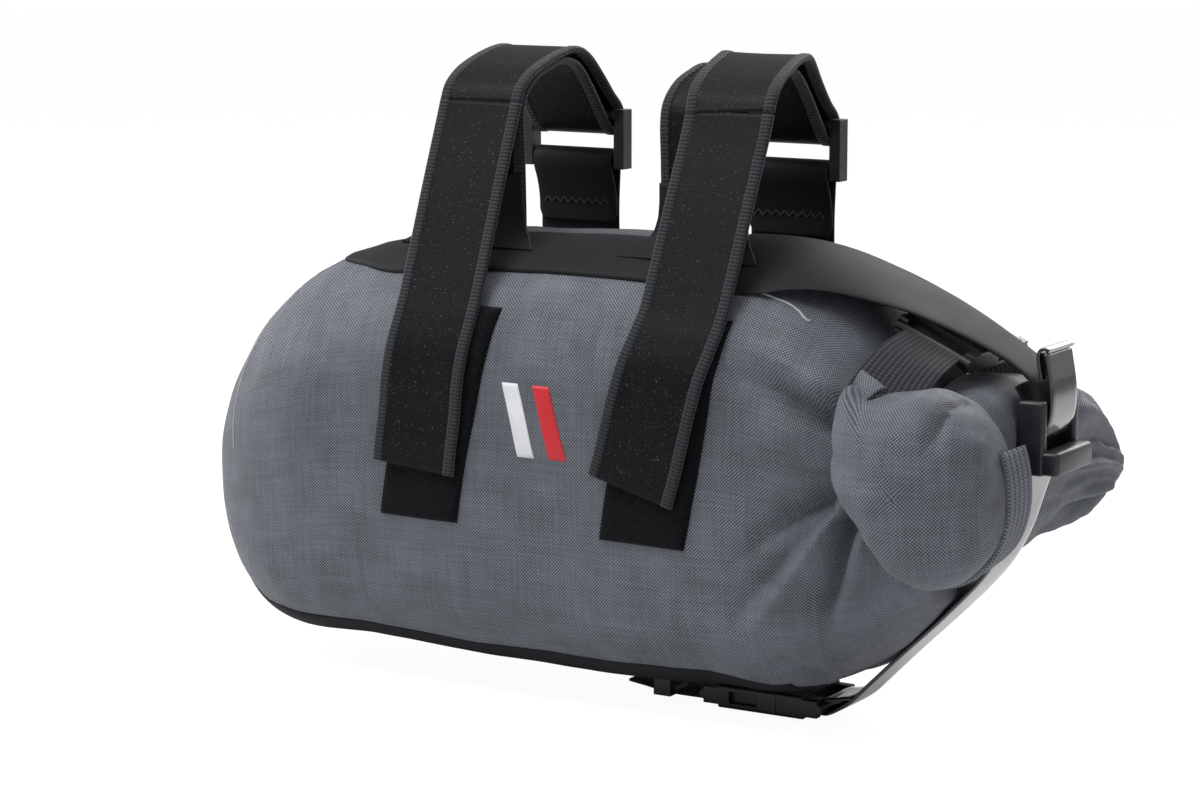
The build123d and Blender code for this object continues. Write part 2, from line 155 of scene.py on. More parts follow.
def resample(points, step):
    """The same line with its points about one step apart."""
    run = distances(points)
    count = max(3, int(run[-1] / step) + 1)
    want = np.linspace(0, run[-1], count)
    return np.stack([np.interp(want, run, points[:, axis]) for axis in range(points.shape[1])], axis=1)


def tangents(path):
    """Direction of a path at each of its points, as unit vectors."""
    steps = np.gradient(path, axis=0)
    return steps / np.linalg.norm(steps, axis=1)[:, None]


def tape(name, path, side, width, thickness, material, round_to=0.45):
    """A flat strap along a path. side is its width direction, for each point or for all of them.

    round_to is the radius of its edges, as a share of its thickness.
    """
    path = np.asarray(path, float)
    side = np.broadcast_to(np.asarray(side, float), path.shape)
    width = np.broadcast_to(np.asarray(width, float), (len(path),))
    along = tangents(path)
    side = side - along * np.sum(side * along, axis=1)[:, None]
    side = side / np.linalg.norm(side, axis=1)[:, None]
    out = np.cross(side, along)
    edge = min(round_to * thickness, thickness / 2)
    profile = []
    for corner, (sx, sy) in zip((0, 90, 180, 270), ((1, 1), (-1, 1), (-1, -1), (1, -1))):
        for part in (0, 30, 60, 90):
            angle = math.radians(corner + part)
            profile.append((sx, sy, edge * math.cos(angle), edge * math.sin(angle)))
        if corner in (0, 180):
            for share in np.linspace(0, 1, TAPE_COLUMNS)[1:-1]:
                profile.append((sx * (1 - 2 * share), sy, 0, edge * sy))
    rows = []
    for here, across, normal, wide in zip(path, side, out, width):
        row = []
        for sx, sy, dx, dy in profile:
            a = sx * (wide / 2 - edge) + dx
            b = sy * (thickness / 2 - edge) + dy
            row.append(here + across * a + normal * b)
        rows.append(row)
    offsets = [sx * (width[-1] / 2 - edge) + dx for sx, _, dx, _ in profile]
    v = np.array(offsets + offsets[:1]) * MM
    return surface(name, rows, material, u=lengths(path), v=v)


def tube(name, path, radius, material, beside=(0.1, -0.95, 0.3), sides=8):
    """A round thread or seam along a path. beside is any direction that the path never takes."""
    along = tangents(path)
    side = np.cross(along, beside)
    side /= np.linalg.norm(side, axis=1)[:, None]
    up = np.cross(side, along)
    turns = np.linspace(0, 2 * math.pi, sides + 1)[:-1]
    grid = [[p + radius * (s * math.cos(t) + n * math.sin(t)) for t in turns]
            for p, s, n in zip(path, side, up)]
    return surface(name, grid, material)


def across_sheet(columns):
    """Places across a sheet, from -1 to 1 and closer at its edges, and its thickness there, from 0 to 1."""
    q = np.sin(np.linspace(-0.5, 0.5, columns) * math.pi)
    return q, np.sqrt(np.clip(1 - np.abs(q) ** SHEET_EDGE, 0, 1))


def ease(share):
    """A change from 0 to 1 that starts and ends slowly."""
    return share * share * (3 - 2 * share)


def domed(piece, grid, middle):
    """Lays the weave over a dome whose last row is its centre, keeping distances along its meridians."""
    steps = np.linalg.norm(np.diff(grid, axis=0), axis=2)
    run = np.vstack([np.cumsum(steps[::-1], axis=0)[::-1], np.zeros(grid.shape[1])])
    aim = grid[0][:, (0, 2)] - middle
    aim /= np.linalg.norm(aim, axis=1)[:, None]
    spots = (run[:, :, None] * aim[None]).reshape(-1, 2) * MM
    corners = np.empty(len(piece.data.loops), dtype=int)
    piece.data.loops.foreach_get("vertex_index", corners)
    piece.data.uv_layers[0].data.foreach_set("uv", spots[corners].astype(np.float32).ravel())


# --- Materials ---
STREAKS = (900, 28)  # per metre, across and along the yarns
RIB_ROUGH = 0.7  # roughness half way up a rib


class Nodes:
    """Adds nodes to a tree."""

    def __init__(self, tree):
        self.tree = tree

    def new(self, kind):
        return self.tree.nodes.new("ShaderNode" + kind)

    def link(self, source, socket):
        self.tree.links.new(source, socket)

    def node(self, kind, *links, **settings):
        """First output of a new node. links are numbers or sockets for its inputs, in order."""
        made = self.new(kind)
        for key, value in settings.items():
            if hasattr(made, key):
                setattr(made, key, value)
            else:
                made.inputs[key.replace("_", " ")].default_value = value
        for position, source in enumerate(links):
            if isinstance(source, (int, float)):
                made.inputs[position].default_value = source
            else:
                self.link(source, made.inputs[position])
        return made.outputs[0]

    def math(self, operation, a, b=0.0):
        return self.node("Math", a, b, operation=operation)


class Shader(Nodes):
    """Builds a node material around one Principled BSDF."""

    def __init__(self, name, **sockets):
        self.material = bpy.data.materials.new(name)
        self.material.use_nodes = True
        super().__init__(self.material.node_tree)
        self.bsdf = self.tree.nodes["Principled BSDF"]
        for key, value in sockets.items():
            self.bsdf.inputs[key.replace("_", " ")].default_value = value

    def uv(self):
        """The piece's own length and width coordinates, in metres."""
        split = self.new("SeparateXYZ")
        source = self.new("UVMap")
        self.link(source.outputs[0], split.inputs[0])
        return split.outputs[0], split.outputs[1]

    def place(self):
        return self.new("TexCoord").outputs["Object"]

    def wave(self, value, pitch):
        """A sine of a length, from -1 to 1, with this pitch in metres."""
        return self.math("SINE", self.math("MULTIPLY", value, 2 * math.pi / pitch))

    def noise(self, scale, detail=3.0, roughness=0.55):
        return self.node("TexNoise", self.place(), Scale=scale, Detail=detail, Roughness=roughness)

    def streaks(self, across, along):
        """Noise drawn out along one direction, from 0 to 1."""
        fine, coarse = [self.math("MULTIPLY", value, per) for value, per in zip((across, along), STREAKS)]
        return self.node("TexNoise", self.node("CombineXYZ", fine, coarse), Scale=1, Detail=1)

    def ramp(self, value, *stops):
        """Colour by a value, with stops of (position, colour)."""
        made = self.new("ValToRGB")
        self.link(value, made.inputs[0])
        ramp = made.color_ramp
        while len(ramp.elements) < len(stops):
            ramp.elements.new(0.5)
        for element, (position, colour) in zip(ramp.elements, stops):
            element.position = position
            element.color = (*colour, 1)
        return made.outputs[0]

    def colour(self, socket):
        self.link(socket, self.bsdf.inputs["Base Color"])

    def rough(self, value, bottom, top):
        """Roughness from bottom to top as a value goes from 0 to 1."""
        made = self.new("MapRange")
        self.link(value, made.inputs[0])
        made.inputs[3].default_value = bottom
        made.inputs[4].default_value = top
        self.link(made.outputs[0], self.bsdf.inputs["Roughness"])

    def bump(self, height, strength, distance):
        """Adds a bump over those already there; distance is in metres."""
        made = self.new("Bump")
        made.inputs["Strength"].default_value = strength
        made.inputs["Distance"].default_value = distance
        self.link(height, made.inputs["Height"])
        last = self.bsdf.inputs["Normal"]
        if last.is_linked:
            self.link(last.links[0].from_socket, made.inputs["Normal"])
        self.link(made.outputs[0], last)


def shade(colour, factor):
    """A colour made darker or lighter."""
    return tuple(channel * factor for channel in colour)


def woven(name, colour, pitch, contrast=0.45, slubs=0.0):
    """Coated plain weave: crossing yarns, some thicker than others, and soft wear.

    pitch is that of the yarns in metres, and slubs is how strongly thick yarns show.
    """
    shader = Shader(name, Sheen_Weight=0.06, Specular_IOR_Level=0.4)
    u, v = shader.uv()
    warp, weft = shader.wave(u, pitch * 2), shader.wave(v, pitch * 2)
    cross = shader.math("MULTIPLY", warp, weft)
    yarn = shader.math("MULTIPLY_ADD", cross, 0.5)
    yarn.node.inputs[2].default_value = 0.5
    cloud = shader.noise(55, 4)
    mixed = shader.math("ADD", shader.math("MULTIPLY", yarn, 0.78), shader.math("MULTIPLY", cloud, 0.34))
    if slubs:
        thick = shader.math("ADD", shader.streaks(u, v), shader.streaks(v, u))
        mixed = shader.math("ADD", mixed, shader.math("MULTIPLY", shader.math("ADD", thick, -1.0), slubs))
    dark, light = shade(colour, 1 - contrast), shade(colour, 1 + contrast * 1.7)
    shader.colour(shader.ramp(mixed, (0.22, dark), (0.55, colour), (0.92, light)))
    shader.rough(yarn, 0.72, 0.48)
    shader.bump(yarn, 0.7, pitch * 0.3)
    shader.bump(cloud, 0.12, 0.0006)
    return shader.material


def rubberised(name, colour, rough, dust=0.0, gloss=0.4):
    """Rubber-coated fabric with a fine grain and, on some pieces, specks of dust."""
    shader = Shader(name, Specular_IOR_Level=gloss)
    fine, broad = shader.noise(900, 2), shader.noise(38, 4)
    tone = shader.ramp(broad, (0.25, shade(colour, 0.8)), (0.75, shade(colour, 1.25)))
    if dust:
        specks = shader.ramp(shader.noise(1500, 1, 0.4), (0.69, (0, 0, 0)), (0.76, (dust, dust, dust)))
        mixed = shader.new("Mix")
        mixed.data_type = "RGBA"
        mixed.blend_type = "ADD"
        mixed.inputs[0].default_value = 1
        shader.link(tone, mixed.inputs[6])
        shader.link(specks, mixed.inputs[7])
        tone = mixed.outputs[2]
    shader.colour(tone)
    shader.rough(broad, rough - 0.08, rough + 0.08)
    shader.bump(fine, 0.25, 0.0002)
    shader.bump(broad, 0.15, 0.0012)
    return shader.material


def ribbed(name, colour, pitch, gloss=0.3, across=False):
    """Webbing or binding: ribs at one pitch, with the yarns that cross them."""
    shader = Shader(name, Specular_IOR_Level=gloss, Sheen_Weight=0.15)
    u, v = shader.uv()
    if across:
        u, v = v, u
    ribs = shader.wave(u, pitch)
    yarns = shader.wave(v, pitch * 0.8)
    height = shader.math("ADD", shader.math("MULTIPLY", ribs, 0.5), shader.math("MULTIPLY", yarns, 0.22))
    level = shader.math("MULTIPLY_ADD", height, 0.6)
    level.node.inputs[2].default_value = 0.5
    dark, light = shade(colour, 0.45), shade(colour, 2.1)
    shader.colour(shader.ramp(level, (0.1, dark), (0.6, colour), (0.95, light)))
    shader.rough(level, RIB_ROUGH + 0.1, RIB_ROUGH - 0.1)
    shader.bump(level, 0.8, pitch * 0.25)
    return shader.material


def pile(name, colour):
    """Hook or loop tape: a dense, matte fuzz."""
    shader = Shader(name, Specular_IOR_Level=0.05, Sheen_Weight=0.04, Sheen_Roughness=0.6)
    fuzz, tufts = shader.noise(1900, 3, 0.7), shader.noise(650, 3)
    both = shader.math("MULTIPLY", shader.math("ADD", fuzz, tufts), 0.5)
    dark, light = shade(colour, 0.35), shade(colour, 3.2)
    shader.colour(shader.ramp(both, (0.35, dark), (0.55, colour), (0.68, light)))
    shader.rough(both, 0.95, 0.8)
    shader.bump(both, 0.9, 0.0012)
    return shader.material


def moulded(name, colour, rough):
    """Injection-moulded plastic with a fine spark-eroded grain and softened edges."""
    shader = Shader(name, Specular_IOR_Level=0.5)
    grain, broad = shader.noise(2600, 2), shader.noise(120, 3)
    shader.colour(shader.ramp(broad, (0.3, shade(colour, 0.8)), (0.7, shade(colour, 1.3))))
    shader.rough(broad, rough - 0.06, rough + 0.1)
    bevel = shader.new("Bevel")
    bevel.inputs["Radius"].default_value = 0.0006
    shader.link(bevel.outputs[0], shader.bsdf.inputs["Normal"])
    shader.bump(grain, 0.25, 0.00015)
    return shader.material


def glossy(name, colour):
    """Webbing sealed in a clear, glossy coat, with the ghost of its ribs."""
    shader = Shader(name, Specular_IOR_Level=0.6, Coat_Weight=0.9, Coat_Roughness=0.04)
    _, across = shader.uv()
    ribs, broad = shader.wave(across, 0.0021), shader.noise(70, 3)
    shader.colour(shader.ramp(broad, (0.3, shade(colour, 0.8)), (0.7, shade(colour, 1.4))))
    shader.rough(broad, 0.16, 0.3)
    shader.bump(ribs, 0.05, 0.0002)
    shader.bump(broad, 0.2, 0.0012)
    return shader.material


GREY = (0.096, 0.104, 0.125)
BLACK = (0.011, 0.013, 0.015)
MATERIALS = {
    "bag": woven("bag_weave", GREY, 0.00074, contrast=0.85, slubs=0.2),
    "crown": woven("crown_mesh", shade(GREY, 0.5), 0.0014, contrast=0.45),
    "sheet": rubberised("harness_sheet", (0.0105, 0.012, 0.014), 0.62, gloss=0.15),
    "strap": rubberised("strap_sheet", shade(BLACK, 0.35), 0.48, dust=0.10, gloss=0.12),
    "binding": ribbed("strap_binding", (0.019, 0.022, 0.026), 0.0016, gloss=0.2),
    "webbing": ribbed("webbing", (0.018, 0.020, 0.024), 0.0019, across=True),
    "pile": pile("loop_pile", (0.0045, 0.0055, 0.007)),
    "gloss": glossy("coated_webbing", (0.010, 0.011, 0.014)),
    "plastic": moulded("buckle_plastic", (0.012, 0.014, 0.017), rough=0.34),
    # light grey of the weld seams: a painted highlight along their edges
    "seam": rubberised("seam_painted_highlight", (0.42, 0.43, 0.45), 0.4),
    "thread": ribbed("thread", (0.020, 0.022, 0.025), 0.0006),
    "white": rubberised("reflective_white", (0.74, 0.75, 0.77), 0.4),
    "red": rubberised("reflective_red", (0.60, 0.02, 0.03), 0.4),
}


# --- The bag's surface ---
START = 9.0  # x of the closed end
MOUTH_START = 268.0  # the bag tapers to its mouth from here
MOUTH_RUN = LENGTH - MOUTH_START
END_INSET, END_SIDE = 30, 62  # how far the closed end's sides draw in, and over what length
END_RISE, END_UNDER = 35, 48  # the same for its bottom
MOUTH_INSET, MOUTH_DROP = 14, 68  # how far the mouth's sides draw in and its top comes down
BOTTOM_RADIUS, TOP_RADIUS = 38, 58
LEAST_FLAT = 1.5  # between two corners of a section
CORNER_STEPS = 24
# How far the top comes down at places along the closed end, and how far the bottom rises along the mouth
SHOULDER_X = [START, 14, 20, 30, 45, 62, 84, 110, 145, 180]
SHOULDER_DROP = [86, 66, 53, 38.5, 26, 17.5, 10, 4.6, 1.2, 0]
KEEL_X = [268, 290, 308, 324, 338, 350, 356]
KEEL_RISE = [0, 1, 5, 13, 24, 36, 43]


def bulge(share):
    """Inset of a rounded end, 1 at the end and 0 where the rounding starts."""
    rest = 1 - min(max(share, 0), 1)
    return 1 - math.sqrt(1 - rest * rest)


def sizes(x):
    """Half depth, bottom, top, bottom radius and top radius of the bag's section at x."""
    over = max(0.0, (x - MOUTH_START) / MOUTH_RUN)
    half = HALF - END_INSET * bulge((x - START) / END_SIDE) - MOUTH_INSET * over ** 3
    bottom = END_RISE * bulge((x - START) / END_UNDER) + np.interp(x, KEEL_X, KEEL_RISE)
    top = HEIGHT - np.interp(x, SHOULDER_X, SHOULDER_DROP) - MOUTH_DROP * over ** 2.2
    tall = top - bottom
    small = min(BOTTOM_RADIUS, half - LEAST_FLAT, 0.4 * tall)
    large = min(TOP_RADIUS, half - LEAST_FLAT, 0.6 * tall - 1)
    return half, bottom, top, small, large


def outline(x):
    """The section at x as points (y, z), from the middle of the top round the back."""
    half, bottom, top, small, large = sizes(x)
    points = [(0, top)]
    corners = ((half - large, top - large, large, 90), (half - small, bottom + small, small, 0),
               (small - half, bottom + small, small, -90), (large - half, top - large, large, -180))
    for y, z, radius, start in corners:
        for turn in np.linspace(0, 90, CORNER_STEPS):
            angle = math.radians(start - turn)
            points.append((y + radius * math.cos(angle), z + radius * math.sin(angle)))
    points.append((0, top))
    return np.array(points)


# Creases in the front near the ear: points (x, z) along each, its depth (negative for a ridge) and width
CREASES = [
    ([(342, 106), (330, 95), (322, 89), (313, 84), (304, 78), (289, 65), (279, 55)], 12.0, 4.4),
    ([(336, 96), (324, 83), (312, 63), (304, 50), (295, 37), (283, 24)], -8.5, 5.2),
    ([(322, 84), (308, 66), (299, 55), (288, 44), (281, 32)], 8.5, 4.6),
    ([(344, 102), (330, 79), (327, 66), (325, 59), (320, 43), (318, 31), (319, 16)], 14.0, 3.6),
    ([(342, 84), (333, 65), (331, 49), (330, 33)], -4.0, 5.0),
    ([(338, 110), (319, 121), (309, 126), (303, 129), (288, 133), (272, 133)], 10.0, 4.6),
    ([(338, 122), (320, 129), (309, 134), (296, 141), (282, 144)], -7.0, 5.5),
    ([(332, 100), (318, 99), (299, 101), (286, 97)], 4.5, 3.4),
    ([(330, 109), (310, 113), (292, 115)], -3.5, 6.0),
    ([(300, 18), (314, 6)], 5.0, 6.0),
]


def creased(x, z, creases):
    """Height that the creases add at points (x, z)."""
    total = np.zeros_like(x)
    for points, depth, width in creases:
        run = resample(np.array(points, float), 3.0)
        gaps = np.sqrt((x[:, None] - run[None, :, 0]) ** 2 + (z[:, None] - run[None, :, 1]) ** 2)
        nearest = np.argmin(gaps, axis=1)
        share = nearest / (len(run) - 1)
        gap = gaps[np.arange(len(x)), nearest]
        fade = 1 - share ** 2
        wide = width * (1 + 0.35 * share)
        total -= depth * fade * np.exp(-(gap / wide) ** (1.35 if depth > 0 else 2))
    return total


SWELL, SWELL_Z, SWELL_SPREAD = 2.2, 82, 46  # of the walls, highest half way up
BROAD, SMALL = 0.017, 0.055  # frequency of the broad swells and the puckers, per millimetre
TIGHT_X, TIGHT_RUN = 240, 80  # the puckers grow towards the mouth, from here and over this length
FACE, FADE = 15, 25  # creases start this far from the middle of the depth, and fade in
BACK_SHARE, BACK_SHIFT = 0.8, 6  # of the front's creases as they are used at the back


def relief(points):
    """Height of the filled fabric's swells and creases over the plain surface."""
    x, y, z = points.T
    height = SWELL * np.exp(-((z - SWELL_Z) / SWELL_SPREAD) ** 2) * np.clip((x - 15) / 60, 0, 1)
    height *= np.where(np.abs(y) > 40, 1, 0.3)
    tight = np.clip((x - TIGHT_X) / TIGHT_RUN, 0, 1)
    slow = np.array([noise.noise(Vector(p) * BROAD) for p in points])
    quick = np.array([noise.noise(Vector(p) * SMALL + Vector((7, 3, 1))) for p in points])
    height += slow * 2.2 + quick * (0.35 + 1.6 * tight)
    front = y < -FACE
    if front.any():
        height[front] += creased(x[front], z[front], CREASES) * np.clip((-FACE - y[front]) / FADE, 0, 1)
    back = y > FACE
    if back.any():
        folds = creased(x[back], z[back] + BACK_SHIFT, CREASES) * BACK_SHARE
        height[back] += folds * np.clip((y[back] - FACE) / FADE, 0, 1)
    return height


def on_bag(x, along, lift=0.0):
    """Points on the bag at x, at distances along its section from the middle of the top, round the back."""
    line = outline(x)
    run = distances(line)
    along = np.asarray(along, float) % run[-1]
    y, z = np.interp(along, run, line[:, 0]), np.interp(along, run, line[:, 1])
    ahead, behind = (along + 1) % run[-1], (along - 1) % run[-1]
    dy = np.interp(ahead, run, line[:, 0]) - np.interp(behind, run, line[:, 0])
    dz = np.interp(ahead, run, line[:, 1]) - np.interp(behind, run, line[:, 1])
    size = np.hypot(dy, dz)
    points = np.stack([np.full_like(y, x), y, z], axis=1)
    normals = np.stack([np.zeros_like(y), -dz / size, dy / size], axis=1)
    return points + normals * (relief(points) + lift)[:, None]


def front_along(x, z):
    """Distance along the section at x to the front of the bag at height z."""
    line = outline(x)
    run = distances(line)
    front = np.arange(len(line)) > len(line) // 2
    return float(np.interp(z, line[front, 1], run[front]))


def perimeter(x):
    """Length of the bag's section at x."""
    return np.sum(np.linalg.norm(np.diff(outline(x), axis=0), axis=1))


def along_to(y):
    """Distance along the straight section from the middle of the top to a depth y near the top."""
    radius = sizes(MOUTH_START - 1)[4]
    flat = HALF - radius
    return math.copysign(flat + radius * math.asin(min(1, (abs(y) - flat) / radius)), y)


def applied(name, stations, edges, thick, material, columns=24):
    """A sheet laid on the bag. edges gives its two edges, as distances along the section, at each x."""
    q, full = across_sheet(columns)
    lift = 0.12
    rows = []
    for x in stations:
        a, b = edges(x)
        spots = (a + b) / 2 + q * (b - a) / 2
        rows.append(np.vstack([on_bag(x, spots, lift + thick * full), on_bag(x, spots[::-1], lift * 0.3)]))
    return surface(name, rows, material)


def bag_skin():
    """The bag's whole outside: a domed closed end, then rings of points to its mouth."""
    end_run, step, columns = 60, 1.6, 340
    stations = [START + end_run * (1 - math.cos(share * math.pi / 2)) for share in np.linspace(0.02, 1, 48)]
    stations += list(np.arange(START + 61.4, MOUTH_START, step))
    stations += list(np.linspace(MOUTH_START, LENGTH, 72))
    rings = [on_bag(x, np.arange(columns) / columns * perimeter(x)) for x in stations]
    rim = rings[0]
    centre = rim.mean(axis=0)
    cap = []
    for share in np.linspace(0.03, 0.97, 16):
        ring = centre + (rim - centre) * share
        ring[:, 0] -= 2.4 * (1 - share ** 2)
        cap.append(ring)
    grid = np.array(cap + rings)
    u = lengths(grid[:, columns * 3 // 4])
    v = np.arange(columns + 1) / columns * perimeter(150) * MM
    keep(surface("bag_skin", grid, "bag", u=u, v=v), "bag_fabric", "bag_body")


def keep(piece, slot, *replaced):
    """A finished piece, and the CAD nodes that it stands for, which it hides. It rides on the bag. slot is
    not used.
    """
    if replaced:
        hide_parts(*replaced)
    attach(piece, "bag")


def blended(piece):
    """A finished piece that reaches from the bag to a body that moves; its transform is baked into its mesh.
    """
    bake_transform(piece)


bag_skin()


# --- Harness ---
STRIP_FRONT, STRIP_BACK = -40, -11  # depths of the top strip's edges
CROWN_BACK, PANEL_BACK = 52, 48  # depths where the crown mesh ends and the back panel starts


def harness():
    front, back = along_to(STRIP_FRONT), along_to(STRIP_BACK)
    strip_low, strip_high = local_box("harness_top_strip")
    stations = np.arange(strip_low[0] + 24, strip_high[0] + 2, 2.0)

    def strip_edges(x):
        start = max(0.0, 1 - (x - stations[0]) / 48)
        return front + (back - front) * 0.75 * start ** 1.6, back

    strip = applied("top_strip", stations, strip_edges, 1.6, "sheet")
    keep(strip, "harness_sheet", "harness_top_strip")
    crown_edges = (back - 1, along_to(CROWN_BACK))
    crown = applied("crown_mesh", np.arange(34, 285, 2.4), lambda x: crown_edges, 0.5, "crown")
    keep(crown, "bag_fabric")
    low, high = local_box("harness_back_panel")
    round_back = along_to(PANEL_BACK)

    def panel_edges(x):
        ends = 10 * max(0.0, 1 - (x - low[0]) / 25) + 8 * max(0.0, 1 - (high[0] - x) / 25)
        return round_back + ends, perimeter(x) / 2 + 48 - ends

    panel = applied("back_panel", np.arange(low[0], high[0], 2.4), panel_edges, 1.6, "sheet", columns=60)
    keep(panel, "harness_sheet", "harness_back_panel")


def tongue():
    """The tapered tongue, draped over the end of the bag and wrapped round the ladder lock's top bar."""
    stops = smooth_path([(256, 182.3), (270, 182.4), (284, 181.2), (298, 178.0), (316, 171.2), (332, 164.0),
                         (349, 156.6), (364, 149.4), (379, 141.4), (388.5, 134.3), (393.2, 127), (394.4, 122),
                         (392.2, 118.8), (388.8, 119.8), (386, 125.5), (381.5, 132.5)])
    wide_end, narrow_end = 74, 27
    taper_start, taper_end = 286, 378
    q, full = across_sheet(26)
    run = tangents(stops)
    rows = []
    for (x, z), (dx, dz) in zip(stops, run):
        share = min(max((x - taper_start) / (taper_end - taper_start), 0), 1)
        eased = ease(share)
        wide = wide_end - (wide_end - narrow_end) * (0.35 * eased + 0.65 * share)
        middle = -6 * (1 - eased)
        drape = max(0.06, 1 - max(0, x - 270) / 75)
        y = middle + q * wide / 2
        sag = drape * (TOP_RADIUS - np.sqrt(TOP_RADIUS ** 2 - y ** 2)) + 0.5 * np.abs(q) ** 3
        thick = 0.8 * full
        wave = np.array([noise.noise(Vector((x, b, z)) * 0.03) for b in y]) * 0.8 * math.sin(math.pi * share)
        top = np.stack([x - dz * (wave + thick), y, z + dx * (wave + thick) - sag], axis=1)
        under = np.stack([x - dz * (wave - thick), y, z + dx * (wave - thick) - sag], axis=1)[::-1]
        rows.append(np.vstack([top, under]))
    piece = surface("tongue", rows, "sheet")
    keep(piece, "harness_sheet", "harness_tongue")


harness()
tongue()


# --- Bar straps ---
def stitches(name, path, side, offset, height, pitch=3.2, length=2.3):
    """A row of short, raised stitches along a strap, as one piece."""
    path = np.asarray(path, float)
    side = np.broadcast_to(np.asarray(side, float), path.shape)
    run = distances(path)
    along = tangents(path)
    points, faces, uvs = [], [], []
    for start in np.arange(pitch / 2, run[-1] - length, pitch):
        spot = [np.array([np.interp(start + d, run, path[:, k]) for k in range(3)]) for d in (0, length)]
        index = min(np.searchsorted(run, start), len(path) - 1)
        across = side[index] - along[index] * np.dot(side[index], along[index])
        across /= np.linalg.norm(across)
        normal = np.cross(across, along[index])
        first = len(points)
        for share, wide, lift in ((0, 0.1, -0.1), (0.2, 0.32, 0.3), (0.8, 0.32, 0.3), (1, 0.1, -0.1)):
            middle = spot[0] + (spot[1] - spot[0]) * share + across * offset + normal * height
            points += [middle - across * wide, middle + normal * lift, middle + across * wide]
        for k in range(3):
            for j in range(2):
                a = first + 3 * k + j
                faces.append((a, a + 1, a + 4, a + 3))
                uvs += [(0, 0), (0.0004, 0), (0.0004, 0.0004), (0, 0.0004)]
    return mesh_object(name, points, faces, uvs, "thread")


# Middle line of a strap, as points (y, z): up from its tab, over the bar, through the ring and back
INNER = [(-15.6, 181.5), (-16.0, 196), (-16.6, 214), (-17.2, 228), (-15.0, 236.6), (-7, 243.6), (4, 247.6),
         (16, 250.0), (28, 247.6), (38, 238.6), (48, 226.6), (54.2, 219.2), (59.0, 216.3), (63.6, 218.8),
         (65.3, 223.4), (63.4, 228.0), (57, 233.4), (48, 242), (38, 250.2), (28, 254.2), (16, 253.4),
         (2, 250.2), (-10, 246.0), (-18.0, 240.6), (-21.6, 234.2)]
# The flap's line from there to the bag, and the heights at which it then follows the bag's front
FLAP = [(-21.6, 234.2), (-25.5, 224.5), (-36, 200), (-46, 176), (-54.2, 157)]
FLAP_FALL = (146, 134, 121, 108, 96, 84.5)
# Places of each strap along the bag: at its tab, where it bends down, half way down the flap and at its foot
STRAPS = {"left": (137.0, 138.5, 139.5, 133.5), "right": (243.5, 258.0, 255.0, 237.5)}
CORE_WIDTH, CORE = 37.0, 2.0  # of the strap's rubberised core
BINDING_WIDTH, BINDING = 5.2, 2.9
BINDING_AT, STITCHES_AT = 17.6, 15.9  # from the strap's middle
STITCHES_UP = 1.5
RING_FROM = 48  # depth past which a strap is in its ring, where no stitches stand proud


def strap_part(name, line, across, replaced):
    """One length of a bar strap: rubberised core, bound edges and their stitching."""
    path = smooth_path([(x, y, z) for x, (y, z) in zip(across, line)], 1.6)
    core = tape(name, path, (1, 0, 0), CORE_WIDTH, CORE, "strap")
    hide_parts(replaced)
    along = tangents(path)
    side = np.array([1.0, 0, 0]) - along * along[:, :1]
    side /= np.linalg.norm(side, axis=1)[:, None]
    ring = np.where(path[:, 1] > RING_FROM)[0]
    stretches = [slice(4, ring[0]), slice(ring[-1], len(path))] if len(ring) else [slice(0, len(path))]
    made = [core]
    for edge, sign in (("a", -1), ("b", 1)):
        beside = path + side * sign * BINDING_AT
        made.append(tape(f"{name}_binding_{edge}", beside, side, BINDING_WIDTH, BINDING, "binding", 0.5))
        for number, sewn in enumerate(stretches):
            row = f"{name}_stitches_{edge}_{number}"
            made.append(stitches(row, path[sewn], side[sewn], sign * STITCHES_AT, STITCHES_UP))
    return made


# Loop pads: lowest and highest z, the pad's left edge at each, and its width
PADS = {"left": (62, 152, 113, 129, 39.5), "right": (62, 154, 220.5, 236, 40.5)}


def patch(name, low, high, left_low, left_high, width, thick, material):
    """A slanted rectangle of sheet laid on the bag's front; its left edge is given at its two ends."""
    q, full = across_sheet(26)
    rows = []
    for share in np.linspace(0, 1, int((high - low) / 1.6)):
        z = low + share * (high - low)
        end = math.sqrt(max(0.0, 1 - abs(2 * share - 1) ** 40))
        height = 0.1 + thick * full * end
        xs = left_low + share * (left_high - left_low) + (q + 1) * width / 2
        top = [on_bag(x, [front_along(x, z)], lift)[0] for x, lift in zip(xs, height)]
        under = [on_bag(x, [front_along(x, z)], 0.02)[0] for x in xs[::-1]]
        rows.append(np.array(top + under))
    return surface(name, rows, material)


PAD_ROOM = 4.0  # for the pad and half the flap


def flap_depth(x, z):
    """Depth of the flap's middle where it lies on its pad."""
    depths = [on_bag(x + shift, [front_along(x + shift, z)])[0][1] for shift in (-16, -8, 0, 8, 16)]
    return min(depths) - PAD_ROOM


TAB_RUN = [(-31, 173.8), (-26.5, 176.4), (-22.2, 179.2), (-19.4, 183.2), (-18.2, 189), (-18.1, 197),
           (-18.1, 204)]
TAB_FLARE = ([173.8, 177, 180, 184, 190, 196], [66, 57, 49, 44, 41, 40])  # its width at heights
REAR_RUN = [(63.0, 106), (63.0, 124), (62.6, 150), (61.6, 180), (62.4, 196), (62.9, 204), (61.2, 207.7),
            (57.6, 208.3), (54.6, 205.4), (54.8, 200.5), (57.6, 194), (59.6, 186), (59.9, 176)]
REAR_FLARE = ([0, 0.12, 0.3, 0.45, 0.97, 1], [62, 58, 46, 40, 40, 36])  # its width along its run
TAB = 1.5  # thickness of a tab


